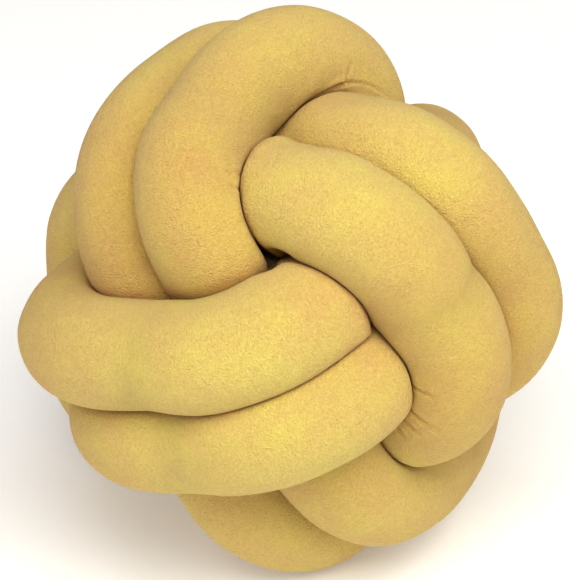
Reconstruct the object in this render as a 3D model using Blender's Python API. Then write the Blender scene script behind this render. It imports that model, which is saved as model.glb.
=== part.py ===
"""Knot cushion: one long, firmly filled plush tube tied round itself into a ball.

The tube makes three bands of two laps each.  Every band passes over one of its neighbours and under the
other, so the three hold each other, and both ends are tucked in, one at the back and one in the middle.
Lengths are in metres, +Z is up, and the origin is on the floor under the middle of the bounding box.
"""
import math
from collections import namedtuple

import bmesh
import bpy
import numpy as np
from mathutils import Euler

# ---- the tube ------------------------------------------------------------------------------------------
TUBE_RADIUS = 0.029        # where nothing presses on the filled tube
PRESSED_PITCH = 0.051      # between the middles of two lengths that press on each other
CLEARANCE = 0.0007         # from each skin to the plane where it would meet its neighbour's
SHOULDER = 0.003           # how softly a pressed side runs into the round of the tube
GIRTH_ROUNDS = 6           # steps in which a pressed section swells back to its girth
MOST_SWELL = 1.3           # the largest free radius of a pressed section, in tube radii
INNER_SHARE = 0.8          # the share of a bend's own radius that its inner side may take up
BEND_SPAN = 0.8            # how far before and after a section its bend is looked for, in tube radii
LEAST_CURVE = 1.0          # curvature, in 1/m, that counts as straight
ROUND_STEPS = 20           # points round the tube
RING_STEP = 0.0145         # from one ring of points to the next
LINE_STEPS_A_RING = 3      # steps of the middle line from one ring to the next
REACH_OF_TOUCH = 2.9       # lengths further apart than this, in tube radii, don't touch
LEAST_FACING = 0.05        # cosine past which a direction no longer points at a neighbour

# ---- the knot ------------------------------------------------------------------------------------------
# A band's angle is 0 where it lies outermost, over one neighbour, and 90 degrees where it lies innermost,
# under the other.  At the angle `change` the tube moves from one of the band's two lanes to the other.
X, Y, Z = np.eye(3)
Band = namedtuple("Band", "name over under side start stop change first_lane")
BANDS = (
    Band("upright", X, Y, Z, -80.0, -743.0, -405.0, +1.0),
    Band("level", Y, Z, X, 245.0, 923.0, 585.0, +1.0),
    Band("slanted", Z, X, Y, 245.0, 914.0, 585.0, -1.0),
)
ANGLE_STEP = 3.0
CHANGE_HALF_ANGLE = 30.0   # a change of lane takes this much angle before and after its middle

# from the ball's centre to the middle line of the tube, in mm
Reach = namedtuple("Reach", "over under diagonal slope shift_over shift_under lane lane_over lane_slope")
REACH_MM = {
    "upright": Reach(138, 80, -1, 4, 3, -2, -2, 4, 0),
    "level": Reach(129, 84, -3, 2, -6, -12, -1, -1, -5),
    "slanted": Reach(133, 73, 3, 5, -9, -2, -7, 1, 0),
}
# from the band's own middle plane to the middle line of the tube, in mm
Side = namedtuple("Side", "lane lane_over twist weave tilt_over tilt_under")
SIDE_MM = {
    "upright": Side(18, 2, -2, -4, 2, 2),
    "level": Side(15, 4, -7, 0, 0, 3),
    "slanted": Side(16, 1, 14, 0, 3, 6),
}
TURN_PULL = 3.2            # how far a turn between two bands keeps its direction, in tube radii
TURN_POINTS = 14
# the last length dives between the bands at the back and stops at STOP_AT, in tube radii
STOP_AT = np.array([-0.5, 0.45, -0.5])
STOP_PULL = 1.4 * np.array([1.0, -1.0, 1.0])
TAIL_PULL = 3.0
TAIL_POINTS = 16

# ---- how the lengths settle against each other ---------------------------------------------------------
SETTLE_STEP = 0.4          # between two points of the middle line, in tube radii
SETTLE_ROUNDS = 80
SAME_LENGTH = 2.8          # points nearer than this along the tube, in tube radii, never press on each other
PUSH = 0.6                 # share of an overlap that one round takes out
STIFFNESS = 0.05           # how strongly the filled tube straightens
TIGHTNESS = 0.004          # how strongly the knot is pulled towards its centre
HOLD = 0.024               # how strongly each point keeps its place in its band
LEAST_BEND = 1.3           # radius below which a bend opens, in tube radii
OPENING = 0.25             # how far it opens in one round
OPENING_ROUNDS = 60

# ---- how the ball lies ---------------------------------------------------------------------------------
LIE_DEG = (4.0, -64.6, 142.0)   # turned about X, then Y, then Z
FLAT_DEPTH = 0.007              # how far the lowest lengths are pressed flat where the ball rests

# ---- where the knot was tugged out of its even form ------------------------------------------------------
# Each shift moves the settled middle line most at the place `at`, counted along the tube in tube radii, and
# less and less on both sides of it.  As the ball lies, the moves are to the right, back and up, in mm.
Shift = namedtuple("Shift", "name at right back up")
SHIFTS = (
    Shift("lower right lap, going under", 9.5, 7, 4, 2),
    Shift("front lap, over the crossing", 14.0, 6, 2, 2),
    Shift("front lap, left shoulder", 16.5, 0, 2, -2),
    Shift("front lap, right shoulder", 21.0, 5, 0, -4),
    Shift("lower left lap", 33.0, -3, 7, 0),
    Shift("rear lap, top", 42.0, -3, -1, -3),
    Shift("upper level lap, left end", 53.5, -3, -2, 4),
    Shift("upper level lap, middle", 56.0, 0, -3, 2),
    Shift("lap behind, upper right", 63.5, -4, -1, -9),
    Shift("lower level lap, left end", 77.0, 5, 3, 1),
    Shift("lower level lap, right end", 82.0, 0, 2, 3),
    Shift("outer right lap, foot", 101.0, -3, 2, 2),
    Shift("outer right lap, shoulder", 104.5, 0, -4, 2),
    Shift("inner right lap, foot", 126.0, -4, -3, -1),
    Shift("inner right lap, inner end", 131.5, -6, -3, 2),
    Shift("left bulge", 136.0, 6, -2, -6),
)
SHIFT_REACH = 1.6               # how far along the tube a shift fades, in tube radii

PLUSH_COLOUR = (0.79, 0.55, 0.15, 1.0)
PLUSH_ROUGHNESS = 0.95


def ease(x):
    """0 below 0, 1 above 1, and 3x^2 - 2x^3 between."""
    x = np.clip(x, 0.0, 1.0)
    return x * x * (3.0 - 2.0 * x)


def unit(vector):
    return vector / np.linalg.norm(vector)


def band_line(band):
    """The middle line of one band, in metres, before it settles.

    At the angle a, and with s running from one lane to the other between +1 and -1, the distance from
    the ball's centre is
        (over + under)/2 + (over - under)/2 cos 2a + diagonal (1 - cos 4a)/2 + slope sin 2a
        + shift_over cos a + shift_under sin a + s (lane + lane_over cos 2a + lane_slope sin 2a)
    and the distance from the band's middle plane is
        s (lane + lane_over cos 2a) + twist sin 2a + weave sin 4a + tilt_over cos a + tilt_under sin a
    """
    out, side = REACH_MM[band.name], SIDE_MM[band.name]
    forward = math.copysign(1.0, band.stop - band.start)
    degrees = np.arange(band.start, band.stop + forward, forward * ANGLE_STEP)
    a = np.radians(degrees)
    passed = forward * (degrees - band.change)
    s = band.first_lane * (1.0 - 2.0 * ease((passed + CHANGE_HALF_ANGLE) / (2.0 * CHANGE_HALF_ANGLE)))
    from_centre = ((out.over + out.under) / 2.0 + (out.over - out.under) / 2.0 * np.cos(2 * a)
                   + out.diagonal * (1.0 - np.cos(4 * a)) / 2.0 + out.slope * np.sin(2 * a)
                   + out.shift_over * np.cos(a) + out.shift_under * np.sin(a)
                   + s * (out.lane + out.lane_over * np.cos(2 * a) + out.lane_slope * np.sin(2 * a)))
    from_plane = (s * (side.lane + side.lane_over * np.cos(2 * a))
                  + side.twist * np.sin(2 * a) + side.weave * np.sin(4 * a)
                  + side.tilt_over * np.cos(a) + side.tilt_under * np.sin(a))
    radial = np.outer(np.cos(a), band.over) + np.outer(np.sin(a), band.under)
    return (from_centre[:, None] * radial + np.outer(from_plane, band.side)) / 1000.0


def bow(p0, pull0, p1, pull1, points):
    """A cubic from p0 to p1 that leaves along pull0 and arrives along pull1."""
    u = np.linspace(0.0, 1.0, points)[:, None]
    return ((2 * u**3 - 3 * u**2 + 1) * p0 + (u**3 - 2 * u**2 + u) * pull0
            + (-2 * u**3 + 3 * u**2) * p1 + (u**3 - u**2) * pull1)


def turn(first, second):
    """The free length between the end of one band and the start of the next."""
    pull = TURN_PULL * TUBE_RADIUS
    away = unit(first[-1] - first[-2])
    home = unit(second[1] - second[0])
    return bow(first[-1], pull * away, second[0], pull * home, TURN_POINTS)[1:-1]


def whole_line():
    """The middle line of the whole tube before it settles."""
    upright, level, slanted = [band_line(band) for band in BANDS]
    away = unit(slanted[-1] - slanted[-2])
    tail = bow(slanted[-1], TAIL_PULL * TUBE_RADIUS * away,
               TUBE_RADIUS * STOP_AT, TUBE_RADIUS * STOP_PULL, TAIL_POINTS)[1:]
    return np.vstack([upright, turn(upright, level), level, turn(level, slanted), slanted, tail])


def line_places(line):
    """How far along a line each of its points is."""
    return np.concatenate([[0.0], np.cumsum(np.linalg.norm(np.diff(line, axis=0), axis=1))])


def even_points(line, step):
    """Points an even distance apart along a line, at about the given step."""
    along = line_places(line)
    at = np.linspace(0.0, along[-1], int(round(along[-1] / step)) + 1)
    return np.stack([np.interp(at, along, line[:, axis]) for axis in range(3)], axis=1)


def lying_axes():
    """The matrix that turns the knot's own axes to those of the ball as it lies."""
    return np.array(Euler([math.radians(degrees) for degrees in LIE_DEG]).to_matrix())


def shifted(p):
    """The points p with every shift added, each times exp(-((along - at) / reach)^2)."""
    along = line_places(p) / TUBE_RADIUS
    for shift in SHIFTS:
        share = np.exp(-((along - shift.at) / SHIFT_REACH)**2)
        move = np.array([shift.right, shift.back, shift.up]) / 1000.0
        p = p + np.outer(share, move @ lying_axes())
    return p


def settle(line):
    """The middle line once its lengths lie against each other.

    In each round any two points nearer than the pressed pitch, and not neighbours along the tube, move
    apart; the line straightens a little, as a stiff rod does, by its fourth difference; and each point is
    drawn a little to the centre and back to its place.  At the end the shifts are added, and the
    sharpest bends open.
    """
    p = even_points(line, SETTLE_STEP * TUBE_RADIUS)
    home = p.copy()
    index = np.arange(len(p))
    apart = np.abs(index[:, None] - index) > SAME_LENGTH / SETTLE_STEP
    for _ in range(SETTLE_ROUNDS):
        away = p[:, None] - p
        distance = np.linalg.norm(away, axis=2)
        pressed = apart & (distance < PRESSED_PITCH)
        overlap = np.where(pressed, PRESSED_PITCH - distance, 0.0)
        shift = (away * (overlap / 2.0 / np.maximum(distance, 1e-9))[..., None]).sum(axis=1)
        touching = pressed.sum(axis=1)
        p = p + shift * (PUSH * np.minimum(touching, 2) / np.maximum(touching, 1))[:, None]
        bend = np.zeros_like(p)
        bend[1:-1] = p[:-2] + p[2:] - 2.0 * p[1:-1]
        spring = np.zeros_like(p)
        spring[2:-2] = bend[1:-3] + bend[3:-1] - 2.0 * bend[2:-2]
        p = p - STIFFNESS * spring
        p = p * (1.0 - TIGHTNESS) + HOLD * (home - p)
    p = shifted(even_points(p, SETTLE_STEP * TUBE_RADIUS))
    for _ in range(OPENING_ROUNDS):
        bend = p[:-2] + p[2:] - 2.0 * p[1:-1]
        sharp = np.linalg.norm(bend, axis=1) > SETTLE_STEP**2 * TUBE_RADIUS / LEAST_BEND
        sharp[1:-1] |= sharp[:-2] | sharp[2:]
        p[1:-1] += OPENING * bend * sharp[:, None]
    return p


def smooth_line(p, points):
    """A cubic B-spline over the points p, read at the given number of points."""
    at = np.linspace(0.0, len(p) - 1.0, points)
    i = np.minimum(at.astype(int), len(p) - 2)
    u = (at - i)[:, None]
    longer = np.vstack([2.0 * p[0] - p[1], p, 2.0 * p[-1] - p[-2]])
    a, b, c, d = [longer[i + k] for k in range(4)]
    return (a * (1 - u)**3 + b * (3 * u**3 - 6 * u**2 + 4)
            + c * (-3 * u**3 + 3 * u**2 + 3 * u + 1) + d * u**3) / 6.0


def cross_axes(line):
    """Two unit directions across the line at each of its points, carried along it without twist."""
    along = np.gradient(line, axis=0)
    along /= np.linalg.norm(along, axis=1)[:, None]
    first = np.zeros_like(along)
    first[0] = unit(np.cross(along[0], Z))
    for i in range(1, len(line)):
        first[i] = unit(first[i - 1] - along[i] * (first[i - 1] @ along[i]))
    return first, np.cross(along, first)


def room(line, at, directions):
    """How far the skin can reach in each direction before it meets the neighbouring lengths.

    A neighbour at distance d, seen at the angle t from a direction, leaves room for (d/2 - clearance)/cos t,
    which is the way to the plane half-way between the two middle lines.  Inside a bend the skin stops
    short of the bend's centre in the same way.
    """
    step = np.linalg.norm(np.diff(line, axis=0), axis=1).mean()
    limit = np.full(directions.shape[:2], 10.0 * TUBE_RADIUS)
    inward = np.gradient(np.gradient(line, axis=0), axis=0) / step**2
    bend_span = int(round(BEND_SPAN * TUBE_RADIUS / step))
    for row, ring in enumerate(at):
        away = line - line[ring]
        distance = np.linalg.norm(away, axis=1)
        along = np.abs(np.arange(len(line)) - ring) * step
        near = (along > SAME_LENGTH * TUBE_RADIUS) & (distance < REACH_OF_TOUCH * TUBE_RADIUS)
        if near.any():
            facing = directions[row] @ (away[near] / distance[near, None]).T
            reach = (distance[near] / 2.0 - CLEARANCE) / np.maximum(facing, LEAST_FACING)
            limit[row] = np.where(facing > LEAST_FACING, reach, 10.0 * TUBE_RADIUS).min(axis=1)
        bends = inward[max(ring - bend_span, 0):ring + bend_span + 1]
        sharpest = (directions[row] @ bends.T).max(axis=1)
        limit[row] = np.minimum(limit[row], INNER_SHARE / np.maximum(sharpest, LEAST_CURVE))
    return limit


def pressed_radii(limit, circle):
    """The skin's distance from the middle line: a circle, or less where there is less room.

    The two meet in a smooth minimum, and the rest of a pressed section swells until its girth is that of
    the free tube, because the cloth doesn't stretch.
    """
    girth = 2.0 * np.pi * TUBE_RADIUS
    free = np.full((len(limit), 1), TUBE_RADIUS)
    for _ in range(GIRTH_ROUNDS):
        mix = np.clip(0.5 + 0.5 * (limit - free) / SHOULDER, 0.0, 1.0)
        radii = limit * (1.0 - mix) + free * mix - SHOULDER * mix * (1.0 - mix)
        skin = radii[..., None] * circle
        around = np.linalg.norm(np.roll(skin, -1, axis=1) - skin, axis=2).sum(axis=1, keepdims=True)
        free = np.minimum(free * (1.0 + 0.8 * (girth / around - 1.0)), MOST_SWELL * TUBE_RADIUS)
    return radii


def end_rounding(along, length):
    """The share of its radius that a section keeps near the tube's two rounded ends."""
    to_end = np.minimum(along, length - along) / TUBE_RADIUS
    return np.sqrt(np.maximum(1.0 - np.maximum(1.0 - to_end, 0.0)**2, 0.0))


def tube_rings():
    """The rings of points of the settled tube, and the points of its two ends, in the knot's own axes."""
    settled = settle(whole_line())
    length = line_places(settled)[-1]
    rings = int(round(length / RING_STEP))
    line = smooth_line(settled, rings * LINE_STEPS_A_RING + 1)
    first, second = cross_axes(line)
    at = np.arange(LINE_STEPS_A_RING, len(line) - 1, LINE_STEPS_A_RING)
    angle = np.linspace(0.0, 2.0 * np.pi, ROUND_STEPS, endpoint=False)
    circle = np.stack([np.cos(angle), np.sin(angle)], axis=1)
    directions = circle[:, :1] * first[at, None] + circle[:, 1:] * second[at, None]
    radii = pressed_radii(room(line, at, directions), circle)
    radii *= end_rounding(at * length / (len(line) - 1), length)[:, None]
    return line[at, None] + radii[..., None] * directions, line[0], line[-1]


def lay_down(points):
    """The points as the ball lies: turned, pressed flat at the floor, and centred over the origin."""
    turned = points @ lying_axes().T
    floor = turned[:, 2].min() + FLAT_DEPTH
    turned[:, 2] = np.maximum(turned[:, 2], floor) - floor
    turned[:, :2] -= (turned[:, :2].min(axis=0) + turned[:, :2].max(axis=0)) / 2.0
    return turned


def tube_mesh(name):
    """One closed mesh: rings joined by quads, split into triangles, with a fan of triangles at each end."""
    rings, first_end, last_end = tube_rings()
    points = lay_down(np.vstack([rings.reshape(-1, 3), first_end, last_end]))
    bm = bmesh.new()
    verts = [bm.verts.new(point) for point in points]
    around = [(k, (k + 1) % ROUND_STEPS) for k in range(ROUND_STEPS)]
    for row in range(len(rings) - 1):
        near, far = row * ROUND_STEPS, (row + 1) * ROUND_STEPS
        for k, n in around:
            bm.faces.new((verts[near + k], verts[near + n], verts[far + n], verts[far + k]))
    last_row = (len(rings) - 1) * ROUND_STEPS
    for k, n in around:
        bm.faces.new((verts[n], verts[k], verts[-2]))
        bm.faces.new((verts[last_row + k], verts[last_row + n], verts[-1]))
    bmesh.ops.triangulate(bm, faces=bm.faces[:], quad_method="SHORT_EDGE")
    if bm.calc_volume(signed=True) < 0.0:
        bmesh.ops.reverse_faces(bm, faces=bm.faces[:])
    mesh = bpy.data.meshes.new(name)
    bm.to_mesh(mesh)
    bm.free()
    mesh.shade_smooth()
    return mesh


def plush_material():
    """Short-pile plush: yellow, not metallic and almost without shine."""
    material = bpy.data.materials.new("Yellow plush")
    material.use_nodes = True
    shader = material.node_tree.nodes["Principled BSDF"]
    shader.inputs["Base Color"].default_value = PLUSH_COLOUR
    shader.inputs["Roughness"].default_value = PLUSH_ROUGHNESS
    shader.inputs["Metallic"].default_value = 0.0
    return material


def main():
    for thing in list(bpy.data.objects):
        bpy.data.objects.remove(thing)
    mesh = tube_mesh("knotted_tube")
    mesh.materials.append(plush_material())
    bpy.context.scene.collection.objects.link(bpy.data.objects.new("knotted_tube", mesh))


main()
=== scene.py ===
# %% [markdown]
# # A knot cushion in mustard plush
#
# The real cushion is one long tube of short-pile plush, stuffed firmly with loose fibre and then tied
# round itself into a ball.  There is no cover, seam or button to see: its whole look is the way in which
# round, padded lengths press on each other, and the way in which the pile takes the light.
#
# The imported model comes first.  It fixes where the ball lies and how large it is.

import math
from collections import namedtuple

import bpy
import numpy as np
from mathutils import Euler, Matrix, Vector


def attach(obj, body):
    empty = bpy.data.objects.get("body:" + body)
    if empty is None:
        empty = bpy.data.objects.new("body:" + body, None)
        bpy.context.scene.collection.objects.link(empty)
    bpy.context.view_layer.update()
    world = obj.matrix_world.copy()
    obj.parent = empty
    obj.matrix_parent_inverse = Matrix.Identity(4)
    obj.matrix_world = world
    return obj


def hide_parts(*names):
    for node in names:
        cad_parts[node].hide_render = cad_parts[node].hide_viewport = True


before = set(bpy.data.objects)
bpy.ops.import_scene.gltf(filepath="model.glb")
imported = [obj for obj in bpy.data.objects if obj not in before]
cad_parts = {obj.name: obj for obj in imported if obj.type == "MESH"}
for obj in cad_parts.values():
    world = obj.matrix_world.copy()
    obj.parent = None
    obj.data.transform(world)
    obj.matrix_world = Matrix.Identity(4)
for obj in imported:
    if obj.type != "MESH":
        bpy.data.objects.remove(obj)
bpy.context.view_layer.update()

# %% [markdown]
# ## The line that the tube follows
#
# The knot has three bands that stand square to each other, and the tube runs twice round each before it
# goes on to the next.  Each band lies over one neighbour and under the other, which is what locks the ball.
#
# Such a knot could be drawn as one long free curve, but nobody can place four metres of tube by hand so that
# it touches itself everywhere and crosses itself nowhere.  Here each band is a formula with fifteen sizes,
# and a short calculation then lets the lengths settle against each other, as they do when the knot is pulled
# tight.
#
# The sizes weren't chosen by hand.  A search by another program found them, together with the pressed pitch,
# how strongly each point keeps its place, and how the ball lies.  It tried values until the laps covered the
# same places as outlines that were traced over the photograph.  The sizes are rounded to whole millimetres.

# %% Sizes of the tube and the three bands
TUBE_RADIUS = 0.029        # where nothing presses on the filled tube
PRESSED_PITCH = 0.051      # between the middles of two lengths that press on each other

# A band's angle is 0 where it lies outermost, over one neighbour, and 90 degrees where it lies innermost,
# under the other.  At the angle `change` the tube moves from one of the band's two lanes to the other.
X, Y, Z = np.eye(3)
Band = namedtuple("Band", "name over under side start stop change first_lane")
BANDS = (
    Band("upright", X, Y, Z, -80.0, -743.0, -405.0, +1.0),
    Band("level", Y, Z, X, 245.0, 923.0, 585.0, +1.0),
    Band("slanted", Z, X, Y, 245.0, 914.0, 585.0, -1.0),
)
ANGLE_STEP = 3.0
CHANGE_HALF_ANGLE = 30.0   # a change of lane takes this much angle before and after its middle

# from the ball's centre to the middle line of the tube, in mm
Reach = namedtuple("Reach", "over under diagonal slope shift_over shift_under lane lane_over lane_slope")
REACH_MM = {
    "upright": Reach(138, 80, -1, 4, 3, -2, -2, 4, 0),
    "level": Reach(129, 84, -3, 2, -6, -12, -1, -1, -5),
    "slanted": Reach(133, 73, 3, 5, -9, -2, -7, 1, 0),
}
# from the band's own middle plane to the middle line of the tube, in mm
Side = namedtuple("Side", "lane lane_over twist weave tilt_over tilt_under")
SIDE_MM = {
    "upright": Side(18, 2, -2, -4, 2, 2),
    "level": Side(15, 4, -7, 0, 0, 3),
    "slanted": Side(16, 1, 14, 0, 3, 6),
}
print("bands:", ", ".join(band.name for band in BANDS))


# %% The line of one band
def ease(x):
    """0 below 0, 1 above 1, and 3x^2 - 2x^3 between."""
    x = np.clip(x, 0.0, 1.0)
    return x * x * (3.0 - 2.0 * x)


def unit(vector):
    """The vector's direction, with length 1."""
    return vector / np.linalg.norm(vector)


def band_line(band):
    """The middle line of one band, in metres, before it settles.

    At the angle a, and with s running from one lane to the other between +1 and -1, the distance from
    the ball's centre is
        (over + under)/2 + (over - under)/2 cos 2a + diagonal (1 - cos 4a)/2 + slope sin 2a
        + shift_over cos a + shift_under sin a + s (lane + lane_over cos 2a + lane_slope sin 2a)
    and the distance from the band's middle plane is
        s (lane + lane_over cos 2a) + twist sin 2a + weave sin 4a + tilt_over cos a + tilt_under sin a
    """
    out, side = REACH_MM[band.name], SIDE_MM[band.name]
    forward = math.copysign(1.0, band.stop - band.start)
    degrees = np.arange(band.start, band.stop + forward, forward * ANGLE_STEP)
    a = np.radians(degrees)
    passed = forward * (degrees - band.change)
    s = band.first_lane * (1.0 - 2.0 * ease((passed + CHANGE_HALF_ANGLE) / (2.0 * CHANGE_HALF_ANGLE)))
    from_centre = ((out.over + out.under) / 2.0 + (out.over - out.under) / 2.0 * np.cos(2 * a)
                   + out.diagonal * (1.0 - np.cos(4 * a)) / 2.0 + out.slope * np.sin(2 * a)
                   + out.shift_over * np.cos(a) + out.shift_under * np.sin(a)
                   + s * (out.lane + out.lane_over * np.cos(2 * a) + out.lane_slope * np.sin(2 * a)))
    from_plane = (s * (side.lane + side.lane_over * np.cos(2 * a))
                  + side.twist * np.sin(2 * a) + side.weave * np.sin(4 * a)
                  + side.tilt_over * np.cos(a) + side.tilt_under * np.sin(a))
    radial = np.outer(np.cos(a), band.over) + np.outer(np.sin(a), band.under)
    return (from_centre[:, None] * radial + np.outer(from_plane, band.side)) / 1000.0


band_lines = [band_line(band) for band in BANDS]
print("points in each band:", [len(points) for points in band_lines])

# %% [markdown]
# Between two bands the tube makes a free turn, and its last length dives between the bands and stops
# inside the ball, so that neither end shows.  A cubic that leaves along one band and arrives along the next
# is the simplest curve that does this without a kink.

# %% Join the bands into one line
TURN_PULL = 3.2            # how far a turn between two bands keeps its direction, in tube radii
TURN_POINTS = 14
STOP_AT = np.array([-0.5, 0.45, -0.5])             # where the last length stops, in tube radii
STOP_PULL = 1.4 * np.array([1.0, -1.0, 1.0])
TAIL_PULL = 3.0
TAIL_POINTS = 16


def bow(p0, pull0, p1, pull1, points):
    """A cubic from p0 to p1 that leaves along pull0 and arrives along pull1."""
    u = np.linspace(0.0, 1.0, points)[:, None]
    return ((2 * u**3 - 3 * u**2 + 1) * p0 + (u**3 - 2 * u**2 + u) * pull0
            + (-2 * u**3 + 3 * u**2) * p1 + (u**3 - u**2) * pull1)


def turn(first, second):
    """The free length between the end of one band and the start of the next."""
    pull = TURN_PULL * TUBE_RADIUS
    away = unit(first[-1] - first[-2])
    home = unit(second[1] - second[0])
    return bow(first[-1], pull * away, second[0], pull * home, TURN_POINTS)[1:-1]


def whole_line(upright, level, slanted):
    """The middle line of the whole tube before it settles."""
    away = unit(slanted[-1] - slanted[-2])
    tail = bow(slanted[-1], TAIL_PULL * TUBE_RADIUS * away,
               TUBE_RADIUS * STOP_AT, TUBE_RADIUS * STOP_PULL, TAIL_POINTS)[1:]
    return np.vstack([upright, turn(upright, level), level, turn(level, slanted), slanted, tail])


drawn_line = whole_line(*band_lines)
print("drawn line:", len(drawn_line), "points")

# %% [markdown]
# Now the knot is pulled tight.  Blender's soft body or rigid body tools could do it, but they are slow and
# hard to steer on a tube that touches itself in a hundred places.  It takes only a few lines to do the same
# for the middle line alone: lengths that overlap move apart, and each point is drawn a little to the centre
# and a little back to its place.

# %% Let the lengths settle against each other
SETTLE_STEP = 0.4          # between two points of the middle line, in tube radii
SETTLE_ROUNDS = 80
SAME_LENGTH = 2.8          # points nearer than this along the tube, in tube radii, never press on each other
PUSH = 0.6                 # share of an overlap that one round takes out
STIFFNESS = 0.05           # how strongly the filled tube straightens
TIGHTNESS = 0.004          # how strongly the knot is pulled towards its centre
HOLD = 0.024               # how strongly each point keeps its place in its band


def line_places(line):
    """How far along a line each of its points is."""
    return np.concatenate([[0.0], np.cumsum(np.linalg.norm(np.diff(line, axis=0), axis=1))])


def even_points(line, step):
    """Points an even distance apart along a line, at about the given step."""
    along = line_places(line)
    at = np.linspace(0.0, along[-1], int(round(along[-1] / step)) + 1)
    return np.stack([np.interp(at, along, line[:, axis]) for axis in range(3)], axis=1)


def settle(line):
    """The middle line once its lengths lie against each other.

    In each round any two points nearer than the pressed pitch, and not neighbours along the tube, move
    apart; the line straightens a little, as a stiff rod does, by its fourth difference; and each point is
    drawn a little to the centre and back to its place.
    """
    p = even_points(line, SETTLE_STEP * TUBE_RADIUS)
    home = p.copy()
    index = np.arange(len(p))
    apart = np.abs(index[:, None] - index) > SAME_LENGTH / SETTLE_STEP
    for _ in range(SETTLE_ROUNDS):
        away = p[:, None] - p
        distance = np.linalg.norm(away, axis=2)
        pressed = apart & (distance < PRESSED_PITCH)
        overlap = np.where(pressed, PRESSED_PITCH - distance, 0.0)
        shift = (away * (overlap / 2.0 / np.maximum(distance, 1e-9))[..., None]).sum(axis=1)
        touching = pressed.sum(axis=1)
        p = p + shift * (PUSH * np.minimum(touching, 2) / np.maximum(touching, 1))[:, None]
        bend = np.zeros_like(p)
        bend[1:-1] = p[:-2] + p[2:] - 2.0 * p[1:-1]
        spring = np.zeros_like(p)
        spring[2:-2] = bend[1:-3] + bend[3:-1] - 2.0 * bend[2:-2]
        p = p - STIFFNESS * spring
        p = p * (1.0 - TIGHTNESS) + HOLD * (home - p)
    return even_points(p, SETTLE_STEP * TUBE_RADIUS)


pulled_tight = settle(drawn_line)
print(f"pulled tight: {len(pulled_tight)} points over {line_places(pulled_tight)[-1]:.2f} m")

# %% [markdown]
# Somebody tied this ball, and their hands left it a little uneven: one lap stands out at its shoulder, and
# another dips at its end.  No formula knows that, so single places are shifted.  A second search of the same
# kind found the shifts, and they were then thinned out, rounded and moved by a millimetre or so.
# They are given as the ball lies, to the right, back and up, because that is how the eye judges them.

# %% Tug the laps to where they lie
LIE_DEG = (4.0, -64.6, 142.0)   # the ball as it lies: its knot turned about X, then Y, then Z
knot_to_frame = np.array(Euler([math.radians(degrees) for degrees in LIE_DEG]).to_matrix())

# A shift moves the line most at the place `at`, counted along the tube in tube radii.  The moves are in mm.
Shift = namedtuple("Shift", "name at right back up")
SHIFTS = (
    Shift("lower right lap, going under", 9.5, 7, 4, 2),
    Shift("front lap, over the crossing", 14.0, 6, 2, 2),
    Shift("front lap, left shoulder", 16.5, 0, 2, -2),
    Shift("front lap, right shoulder", 21.0, 5, 0, -4),
    Shift("lower left lap", 33.0, -3, 7, 0),
    Shift("rear lap, top", 42.0, -3, -1, -3),
    Shift("upper level lap, left end", 53.5, -3, -2, 4),
    Shift("upper level lap, middle", 56.0, 0, -3, 2),
    Shift("lap behind, upper right", 63.5, -4, -1, -9),
    Shift("lower level lap, left end", 77.0, 5, 3, 1),
    Shift("lower level lap, right end", 82.0, 0, 2, 3),
    Shift("outer right lap, foot", 101.0, -3, 2, 2),
    Shift("outer right lap, shoulder", 104.5, 0, -4, 2),
    Shift("inner right lap, foot", 126.0, -4, -3, -1),
    Shift("inner right lap, inner end", 131.5, -6, -3, 2),
    Shift("left bulge", 136.0, 6, -2, -6),
)
SHIFT_REACH = 1.6               # how far along the tube a shift fades, in tube radii


def shifted(p):
    """The points p with every shift added, each times exp(-((along - at) / reach)^2)."""
    along = line_places(p) / TUBE_RADIUS
    for shift in SHIFTS:
        share = np.exp(-((along - shift.at) / SHIFT_REACH)**2)
        move = np.array([shift.right, shift.back, shift.up]) / 1000.0
        p = p + np.outer(share, move @ knot_to_frame)
    return p


tugged = shifted(pulled_tight)
print("largest shift, mm:", round(1000 * float(np.linalg.norm(tugged - pulled_tight, axis=1).max()), 1))

# %% [markdown]
# A shift can leave a bend sharper than a tube full of fibre can make, and its cloth would fold over there.
# Smoothing the whole line would undo the shifts as well, so only the places that are too sharp open up.

# %% Open the sharpest bends
LEAST_BEND = 1.3           # radius below which a bend opens, in tube radii
OPENING = 0.25             # how far it opens in one round
OPENING_ROUNDS = 60


def opened(p):
    """The points p with the bends that are sharper than stuffed cloth can make eased out."""
    p = p.copy()
    for _ in range(OPENING_ROUNDS):
        bend = p[:-2] + p[2:] - 2.0 * p[1:-1]
        sharp = np.linalg.norm(bend, axis=1) > SETTLE_STEP**2 * TUBE_RADIUS / LEAST_BEND
        sharp[1:-1] |= sharp[:-2] | sharp[2:]
        p[1:-1] += OPENING * bend * sharp[:, None]
    return p


settled = opened(tugged)
tube_length = line_places(settled)[-1]
print(f"tube: {tube_length:.2f} m long, {len(settled)} settled points")
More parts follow.
